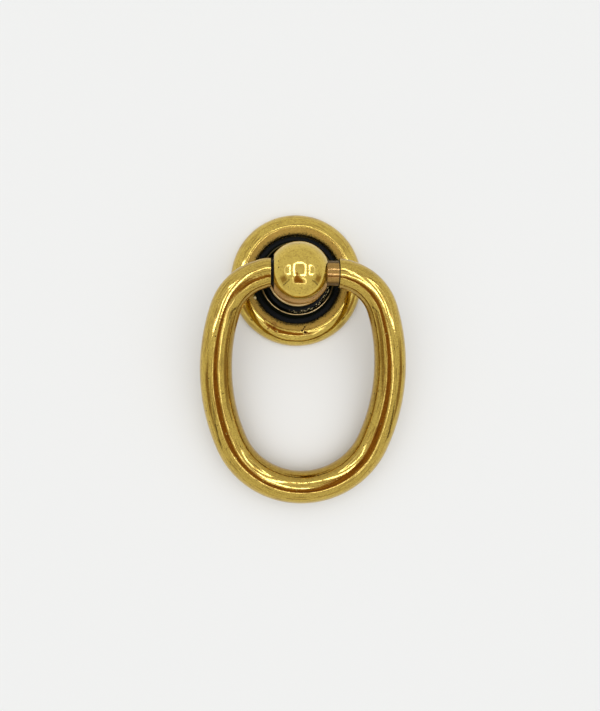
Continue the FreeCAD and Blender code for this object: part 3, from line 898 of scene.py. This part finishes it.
def post_glints(tree, place):
    """Painted highlights, paler than the polished brass: on the bead's crest, where rubbed wear
    shows too, on the neck's edge and on the dish's grains.
    """
    height = add_node(tree, SPLIT, links={0: place})["Z"]
    bead = add_node(tree, MATH, MULTIPLY, {0: bead_wear_and_highlight(tree, place), 1: 0.55})[0]
    low = add_node(tree, MAP_RANGE, SMOOTH, {0: height, 1: 3.7, 2: 3.9, 3: 1.0, 4: 0.0})[0]
    grains = add_node(tree, MATH, MULTIPLY, {0: low, 1: painted_grain_sparkles(tree, place)})[0]
    highlighted = painted_neck_highlight(tree, place)
    for mask in (bead, grains):
        highlighted = add_node(tree, MATH, GREATER, {0: highlighted, 1: mask})[0]
    return highlighted


print("the post is bare on the bead, on the neck's edge and on the grains of the dish")


# %% Black on the post
def spot_faces(tree, place):
    """The two flat faces on the sides of the ball."""
    part = add_node(tree, SPLIT, links={0: place})
    left = {0: part["X"], 1: 0.03 - FLAT_LEFT, 2: 0.06 - FLAT_LEFT, 3: 1.0, 4: 0.0}
    left_face = add_node(tree, MAP_RANGE, SMOOTH, left)[0]
    right = {0: part["X"], 1: FLAT_RIGHT - 0.06, 2: FLAT_RIGHT - 0.03}
    right_face = add_node(tree, MAP_RANGE, SMOOTH, right)[0]
    faces = add_node(tree, MATH, GREATER, {0: left_face, 1: right_face})[0]
    above = add_node(tree, MAP_RANGE, SMOOTH, {0: part["Z"], 1: 8.0, 2: 8.1})[0]
    outside = {0: radius_from_axis(tree, place), 1: 6.5, 2: 6.6, 3: 1.0, 4: 0.0}
    inside = add_node(tree, MAP_RANGE, SMOOTH, outside)[0]
    on_ball = add_node(tree, MATH, MULTIPLY, {0: above, 1: inside})[0]
    return add_node(tree, MATH, MULTIPLY, {0: faces, 1: on_ball})[0]


def black_foot(tree, place):
    """Everything below the neck's edge, apart from the bead's crest and the dish's grains, which
    carry the painted highlights.
    """
    height = add_node(tree, SPLIT, links={0: place})["Z"]
    ragged = add_node(tree, NOISE, links={"Vector": place, "Scale": 2.0, "Detail": 4.0})[0]
    moved = add_node(tree, MATH, MULTIPLY_ADD, {0: ragged, 1: 0.5, 2: height})[0]
    low = add_node(tree, MAP_RANGE, SMOOTH, {0: moved, 1: 6.75, 2: 7.0, 3: 1.0, 4: 0.0})[0]
    rubbed = {0: bead_wear_and_highlight(tree, place), 1: painted_grain_sparkles(tree, place)}
    bright = add_node(tree, MATH, GREATER, rubbed)[0]
    bright_low = add_node(tree, MATH, MULTIPLY, {0: low, 1: bright})[0]
    return add_node(tree, MATH, SUBTRACT, {0: low, 1: bright_low})[0]


def post_black(tree, place):
    """Black from the neck down, in the waist and on the spot faces. The foot's black is patina.
    The waist's black is patina in the hollow under the ball and a painted shadow on the neck's top,
    and the spot faces' black is patina and painted shade in the gap at the ring. A thin dark line
    on the ball is a painted reflection of the ring. The bead is rubbed bright, and is painted paler
    as a highlight.
    """
    part = add_node(tree, SPLIT, links={0: place})
    radius = radius_from_axis(tree, place)
    # The waist is black: patina in the hollow under the ball, reaching onto the neck's top as a
    # painted shadow under the ball.
    narrow = add_node(tree, MAP_RANGE, SMOOTH, {0: radius, 1: 5.15, 2: 5.28, 3: 1.0, 4: 0.0})[0]
    under = {0: part["Z"], 1: 7.9, 2: 8.15, 3: 1.0, 4: 0.0}
    under_ball = add_node(tree, MAP_RANGE, SMOOTH, under)[0]
    waist = add_node(tree, MATH, MULTIPLY, {0: narrow, 1: under_ball})[0]

    # A thin dark line is painted low on the ball, on its side towards the ring: a painted
    # reflection of the ring's dark bar.
    level = soft_band(tree, part["Z"], 14.17, 14.32, 0.05)
    below = {0: part["Y"], 1: -2.6, 2: -1.0, 3: 0.6, 4: 0.0}
    lower_side = add_node(tree, MAP_RANGE, SMOOTH, below)[0]
    line = add_node(tree, MATH, MULTIPLY, {0: level, 1: lower_side})[0]
    black = black_foot(tree, place)
    # The spot faces are black: patina in the narrow gap at the ring's shoulder, and painted shade
    # there too.
    for mask in (waist, spot_faces(tree, place), line):
        black = add_node(tree, MATH, GREATER, {0: black, 1: mask})[0]
    front = add_node(tree, MAP_RANGE, SMOOTH, {0: part["Z"], 1: 1.1, 2: 1.3})[0]
    return add_node(tree, MATH, MULTIPLY, {0: black, 1: front})[0]


print("spot faces are black at", -FLAT_LEFT, "and", FLAT_RIGHT, "mm")


# %% Satin on the post
def post_satin(tree, place):
    """The neck's top, which the buffing wheel hardly touched, and the ball's lower flank on the
    side towards the ring. The flank's pink satin is partly the finish and partly a painted
    reflection of the ring and the shaded paper below it.
    """
    part = add_node(tree, SPLIT, links={0: place})
    limits = (
        # the part of the place, from, to, the mask there and here
        ("Z", 8.0, 9.0, 1.0, 0.0),
        ("Z", 5.0, 5.5, 0.0, 1.0),
        ("Z", 14.17, 14.30, 0.9, 0.0),
        ("Y", -2.6, -1.0, 1.0, 0.0),
    )
    masks = []
    for letter, start, end, first, last in limits:
        reach = {0: part[letter], 1: start, 2: end, 3: first, 4: last}
        masks.append(add_node(tree, MAP_RANGE, SMOOTH, reach)[0])
    neck = add_node(tree, MATH, MULTIPLY, {0: masks[0], 1: masks[1]})[0]
    # Only the flank's side towards the ring is pink satin: a painted reflection of the ring and the
    # shaded paper, as well as the finish.
    flank = add_node(tree, MATH, MULTIPLY, {0: masks[2], 1: masks[3]})[0]
    return add_node(tree, MATH, GREATER, {0: neck, 1: flank})[0]


print("satin on the neck and low on the ball's flank")

# %% Post finish
POST_PITS = (
    ((-2.10, -3.05, 15.8), 0.10),
    ((-0.75, -3.75, 15.6), 0.10),
    ((0.90, 3.60, 15.9), 0.08),
    ((-1.60, 3.90, 15.5), 0.07),
    ((2.60, -4.10, 14.2), 0.09),
)
post_brass = aged_brass(
    "turned_aged_brass_with_black_foot",
    even_place,
    post_black,
    post_satin,
    POST_PITS,
    streakiness=0.25,
    relief_mm=0.008,
    satin=(BRASS_PINK_SATIN_AND_PAINTED_REFLECTION, 0.24, 0.4),
    polish=0.10,
    glints=post_glints,
)
place_piece("ball_post_dressed", whole_post, post_brass, "base", "ball_post")

# %% [markdown]
# ## Ring
# The ring is one round bar, cast in shape and polished along its length. It is bent in three arcs
# on each side and grows thicker towards the bottom. Its shape follows a rule, so Geometry Nodes
# sweep a circle along the bent line with a radius that depends on the distance from the tip. The
# tree also keeps three measures on the mesh, so that the streaks can follow the bar and the brown
# can stay on its inner side: the length along the bar, the place round it, and how far the skin
# faces the ring's middle. The brown on the inner side is partly patina and partly painted shade.

# %% The tenon and its shoulder
TIP = 1.77
TIP_CHAMFER = 0.3
SHOULDER = 6.17
SHOULDER_ROUND = 0.10
ARM_RADIUS = 2.6
TENON_SHARE = 2.225 / ARM_RADIUS
CHAMFER_SHARE = 0.115
CHAMFER_STEPS = 3
TENON_STEPS = 20
ROUND_STEPS = 8

# Each point is x, y, and the share of the bar's radius that is left there.
half_line = []
for i in range(CHAMFER_STEPS):
    share = TENON_SHARE - CHAMFER_SHARE * (CHAMFER_STEPS - i) / CHAMFER_STEPS
    half_line.append((TIP + TIP_CHAMFER * i / CHAMFER_STEPS, 0.0, share))
tenon = SHOULDER - TIP - TIP_CHAMFER
for i in range(TENON_STEPS + 1):
    half_line.append((TIP + TIP_CHAMFER + tenon * i / TENON_STEPS, 0.0, TENON_SHARE))
for i in range(ROUND_STEPS + 1):
    turn = math.radians(90 * i / ROUND_STEPS)
    share = 1.0 - SHOULDER_ROUND * (1 - math.sin(turn)) / ARM_RADIUS
    half_line.append((SHOULDER + 0.001 + SHOULDER_ROUND * (1 - math.cos(turn)), 0.0, share))
print("tenon length in mm", round(SHOULDER - TIP, 2))

# %% The bar's centreline
ARM_BEND = ((5.413, -9.5), 9.5, 90.0, 18.1997)
SIDE_BEND = ((-20.7354, -18.0970), 37.0254, 18.1997, -22.5096)
BOTTOM_BEND = ((0.0, -26.69), 14.58, -22.5096, -90.0)
BEND_BLEND = 2.0

bends = arc(*ARM_BEND, 90) + arc(*SIDE_BEND, 200)[1:] + arc(*BOTTOM_BEND, 170)[1:]
for x, y in bends:
    if x > SHOULDER + SHOULDER_ROUND + 0.05 or y < -1.0:
        ease = min(1.0, (x - SHOULDER) / BEND_BLEND) if y > -1.0 else 1.0
        half_line.append((x, y * ease * ease * (3 - 2 * ease), 1.0))
other_half = [(-x, y, share) for x, y, share in reversed(half_line[:-1])]
centreline = half_line + other_half
line_mesh = bpy.data.meshes.new("ring_centreline")
points = [(x * MM, y * MM, 0.0) for x, y, share in centreline]
line_mesh.from_pydata(points, [(i, i + 1) for i in range(len(points) - 1)], [])
step = line_mesh.attributes.new("turned_step", "FLOAT", "POINT")
step.data.foreach_set("value", [share for x, y, share in centreline])
line_object = bpy.data.objects.new("ring_centreline", line_mesh)
scene.collection.objects.link(line_object)
print("centreline", len(points), "points")

# %% What the sweep is given
SWEEP_INPUTS = {
    "Radius at the arm": ("NodeSocketFloat", ARM_RADIUS * MM),
    "Radius at the side": ("NodeSocketFloat", 3.0 * MM),
    "Radius at the bottom": ("NodeSocketFloat", 3.13 * MM),
    "Length to the side": ("NodeSocketFloat", 27.4 * MM),
    "Length to the bottom": ("NodeSocketFloat", 53.2 * MM),
    "Unevenness": ("NodeSocketFloat", 0.012 * MM),
    "Ring middle": ("NodeSocketVector", (0.0, -20.0 * MM, 0.0)),
    "Points round the bar": ("NodeSocketInt", 96),
    "Seed": ("NodeSocketFloat", 3.0),
}
READ_MEASURE = "GeometryNodeInputNamedAttribute"
KEEP_MEASURE = "GeometryNodeStoreNamedAttribute"
OF_FLOATS = {"data_type": "FLOAT"}
FLOAT_ON_POINTS = {"data_type": "FLOAT", "domain": "POINT"}
VECTOR_ON_POINTS = {"data_type": "FLOAT_VECTOR", "domain": "POINT"}

sweep = bpy.data.node_groups.new("swept_ring_bar", "GeometryNodeTree")
sockets_of = sweep.interface
sockets_of.new_socket("Geometry", in_out="INPUT", socket_type="NodeSocketGeometry")
for name, (socket_type, value) in SWEEP_INPUTS.items():
    sockets_of.new_socket(name, in_out="INPUT", socket_type=socket_type).default_value = value
sockets_of.new_socket("Material", in_out="INPUT", socket_type="NodeSocketMaterial")
sockets_of.new_socket("Geometry", in_out="OUTPUT", socket_type="NodeSocketGeometry")
given = add_node(sweep, "NodeGroupInput")
print("inputs of the sweep", len(SWEEP_INPUTS) + 2)

# %% Thickness along the bar
curve = add_node(sweep, "GeometryNodeMeshToCurve", links={"Mesh": given["Geometry"]})[0]
upright = add_node(sweep, "GeometryNodeSetCurveNormal", {"mode": "Z_UP"}, {"Curve": curve})[0]
along = add_node(sweep, "GeometryNodeSplineParameter")["Length"]
total = add_node(sweep, "GeometryNodeSplineLength")["Length"]
back = add_node(sweep, MATH, SUBTRACT, {0: total, 1: along})[0]
from_tip = add_node(sweep, MATH, SMALLER, {0: along, 1: back})[0]
to_side = {0: from_tip, 1: 0.0, 2: given["Length to the side"]}
to_side.update({3: given["Radius at the arm"], 4: given["Radius at the side"]})
upper = add_node(sweep, MAP_RANGE, links=to_side)[0]
growth = {0: given["Radius at the bottom"], 1: given["Radius at the side"]}
swell = add_node(sweep, MATH, SUBTRACT, growth)[0]
to_bottom = {0: from_tip, 1: given["Length to the side"], 2: given["Length to the bottom"]}
to_bottom.update({3: 0.0, 4: swell})
lower = add_node(sweep, MAP_RANGE, links=to_bottom)[0]
bar = add_node(sweep, MATH, ADD, {0: upper, 1: lower})[0]
kept_step = {"Name": "turned_step"}
turned_step = add_node(sweep, READ_MEASURE, OF_FLOATS, kept_step)[0]
thickness = add_node(sweep, MATH, MULTIPLY, {0: bar, 1: turned_step})[0]
print("nodes up to the thickness", len(sweep.nodes))

# %% The swept bar and its measures
marked = upright
for name, measure in (("from_tip", from_tip), ("along_bar", along)):
    stored = {"Geometry": marked, "Name": name, "Value": measure}
    marked = add_node(sweep, KEEP_MEASURE, FLOAT_ON_POINTS, stored)[0]
circle = {"Resolution": given["Points round the bar"], "Radius": 1.0}
profile = add_node(sweep, "GeometryNodeCurvePrimitiveCircle", {"mode": "RADIUS"}, circle)[0]
spot = add_node(sweep, "GeometryNodeInputPosition")[0]
stored = {"Geometry": profile, "Name": "round_bar", "Value": spot}
profile = add_node(sweep, KEEP_MEASURE, VECTOR_ON_POINTS, stored)[0]
carried = {"Curve": marked, "Profile Curve": profile, "Scale": thickness, "Fill Caps": True}
swept = add_node(sweep, "GeometryNodeCurveToMesh", links=carried)[0]
outward = add_node(sweep, "GeometryNodeInputNormal")[0]
to_middle = add_node(sweep, VECTOR_MATH, SUBTRACT, {0: given["Ring middle"], 1: spot})[0]
to_middle = add_node(sweep, VECTOR_MATH, TO_LENGTH_ONE, {0: to_middle})[0]
inwards = add_node(sweep, VECTOR_MATH, DOT, {0: to_middle, 1: outward})["Value"]
stored = {"Geometry": swept, "Name": "faces_middle", "Value": inwards}
swept = add_node(sweep, KEEP_MEASURE, FLOAT_ON_POINTS, stored)[0]
print("measures kept on the mesh: from_tip, along_bar, round_bar, faces_middle")

# %% Unevenness past the shoulder
in_mm = add_node(sweep, VECTOR_MATH, SCALE, {0: spot, "Scale": 1000.0})[0]
wavy = {"Vector": in_mm, "W": given["Seed"], "Scale": 0.32, "Detail": 1.0}
waves = add_node(sweep, NOISE, {"noise_dimensions": "4D"}, wavy)[0]
centred = add_node(sweep, MATH, SUBTRACT, {0: waves, 1: 0.75})[0]
lift = add_node(sweep, MATH, MULTIPLY, {0: centred, 1: given["Unevenness"]})[0]
tip_measure = add_node(sweep, READ_MEASURE, OF_FLOATS, {"Name": "from_tip"})[0]
past_shoulder = {0: tip_measure, 1: 4.7 * MM, 2: 5.6 * MM}
past_shoulder = add_node(sweep, MAP_RANGE, links=past_shoulder)[0]
lift = add_node(sweep, MATH, MULTIPLY, {0: lift, 1: past_shoulder})[0]
offset = add_node(sweep, VECTOR_MATH, SCALE, {0: outward, "Scale": lift})[0]
moved = {"Geometry": swept, "Offset": offset}
uneven = add_node(sweep, "GeometryNodeSetPosition", links=moved)[0]
realized = add_node(sweep, "GeometryNodeRealizeInstances", links={"Geometry": uneven})[0]
dressed = {"Geometry": realized, "Material": given["Material"]}
coated = add_node(sweep, "GeometryNodeSetMaterial", links=dressed)[0]
add_node(sweep, "NodeGroupOutput", links={"Geometry": coated})
print("sweep nodes", len(sweep.nodes))


# %% Streaks, black and brown of the ring
def along_the_bar(tree, place):
    """Streaks that run along the bar: slow with its length, fast round it."""
    length = add_node(tree, ATTRIBUTE, {"attribute_name": "along_bar"})["Fac"]
    slow = add_node(tree, MATH, MULTIPLY, {0: length, 1: 250.0})[0]
    turned = add_node(tree, ATTRIBUTE, {"attribute_name": "round_bar"})["Vector"]
    fast = add_node(tree, VECTOR_MATH, SCALE, {0: turned, "Scale": 15.0})[0]
    lift = add_node(tree, JOIN, links={"Z": slow})[0]
    return add_node(tree, VECTOR_MATH, ADD, {0: fast, 1: lift})[0]


def ring_patina_and_shade(tree, place):
    """Black on the square shoulders, on all of the left tenon, which the ball's bore hides, and on
    the right tenon's sides: patina in these narrow gaps at the ball, and painted shade there too.
    """
    tip = add_node(tree, ATTRIBUTE, {"attribute_name": "from_tip"})["Fac"]
    part = add_node(tree, SPLIT, links={0: place})
    sides = (
        # the part of the place, from, to, the mask there and here
        ("X", -1.0, 0.0, 1.0, 0.0),
        ("Y", 1.45, 1.75, 0.0, 0.7),
        ("Y", -2.0, -1.5, 0.6, 0.0),
    )
    blackened = 0.0
    for letter, start, end, first, last in sides:
        reach = {0: part[letter], 1: start, 2: end, 3: first, 4: last}
        side = add_node(tree, MAP_RANGE, SMOOTH, reach)[0]
        blackened = add_node(tree, MATH, GREATER, {0: blackened, 1: side})[0]
    on_tenon = {0: tip, 1: 4.3 * MM, 2: 4.42 * MM, 3: 1.0, 4: 0.0}
    tenons = add_node(tree, MAP_RANGE, SMOOTH, on_tenon)[0]
    black_tenons = add_node(tree, MATH, MULTIPLY, {0: blackened, 1: tenons})[0]
    shoulders = soft_band(tree, tip, 4.28 * MM, 4.42 * MM, 0.03 * MM)
    return add_node(tree, MATH, GREATER, {0: shoulders, 1: black_tenons})[0]


def ring_satin(tree, place):
    """The turned tenons, which only rubbed in the bore."""
    tip = add_node(tree, ATTRIBUTE, {"attribute_name": "from_tip"})["Fac"]
    on_tenon = {0: tip, 1: 4.3 * MM, 2: 4.45 * MM, 3: 0.8, 4: 0.0}
    return add_node(tree, MAP_RANGE, SMOOTH, on_tenon)[0]


def ring_brown_and_painted_shade(tree, place):
    """How brown the ring is: a little all over, from the patina, and most on its inner side, where
    the brown is partly patina and partly painted shade for the shaded paper that this side mirrors.
    """
    inner = add_node(tree, ATTRIBUTE, {"attribute_name": "faces_middle"})["Fac"]
    turned_in = {0: inner, 1: 0.40, 2: 0.75, 3: 0.22, 4: 0.72}
    return add_node(tree, MAP_RANGE, SMOOTH, turned_in)[0]


print("the shoulder is", round(SHOULDER - TIP, 2), "mm from the tip")

# %% Ring finish
RING_PITS = (
    ((13.89, -1.74, 13.4), 0.10),
    ((15.88, -10.92, 12.1), 0.13),
    ((-13.59, -2.59, 12.8), 0.13),
    ((-15.60, -8.90, 12.0), 0.10),
    ((-12.10, -1.10, 13.6), 0.09),
    ((-14.80, -27.9, 8.7), 0.12),
    ((12.60, -34.1, 7.3), 0.12),
    ((7.60, -38.3, 6.5), 0.12),
)
ring_brass = aged_brass(
    "cast_aged_brass_polished_lengthwise",
    along_the_bar,
    ring_patina_and_shade,
    ring_satin,
    RING_PITS,
    streakiness=0.85,
    relief_mm=0.009,
    satin=(BRASS_TENON, 0.14, 0.25),
    polish=0.07,
    brown_and_shade=ring_brown_and_painted_shade,
)

# %% Ring mesh
RING_PIVOT = (1.08, 0.0, BALL_HEIGHT)
RING_SLOPE = 11.7014

sweeping = line_object.modifiers.new("sweep", "NODES")
sweeping.node_group = sweep
inputs = [item for item in sweep.interface.items_tree if item.in_out == "INPUT"]
sockets = {item.name: item.identifier for item in inputs}
for name, (socket_type, value) in SWEEP_INPUTS.items():
    sweeping[sockets[name]] = value
sweeping[sockets["Material"]] = ring_brass
graph = bpy.context.evaluated_depsgraph_get()
swept_ring = line_object.evaluated_get(graph)
ring_mesh = bpy.data.meshes.new_from_object(
    swept_ring,
    preserve_all_data_layers=True,
    depsgraph=graph,
)
bpy.data.objects.remove(line_object)
work = bmesh.new()
work.from_mesh(ring_mesh)
bmesh.ops.recalc_face_normals(work, faces=work.faces)
work.to_mesh(ring_mesh)
work.free()
hanging = Matrix.Rotation(math.radians(RING_SLOPE), 4, "X")
ring_mesh.transform(Matrix.Translation(Vector(RING_PIVOT) * MM) @ hanging)
smooth_but_sharp(ring_mesh, 35)
place_piece("ring_dressed", ring_mesh, ring_brass, "bail", "ring")

# %% Bring the scene up to date
bpy.context.view_layer.update()
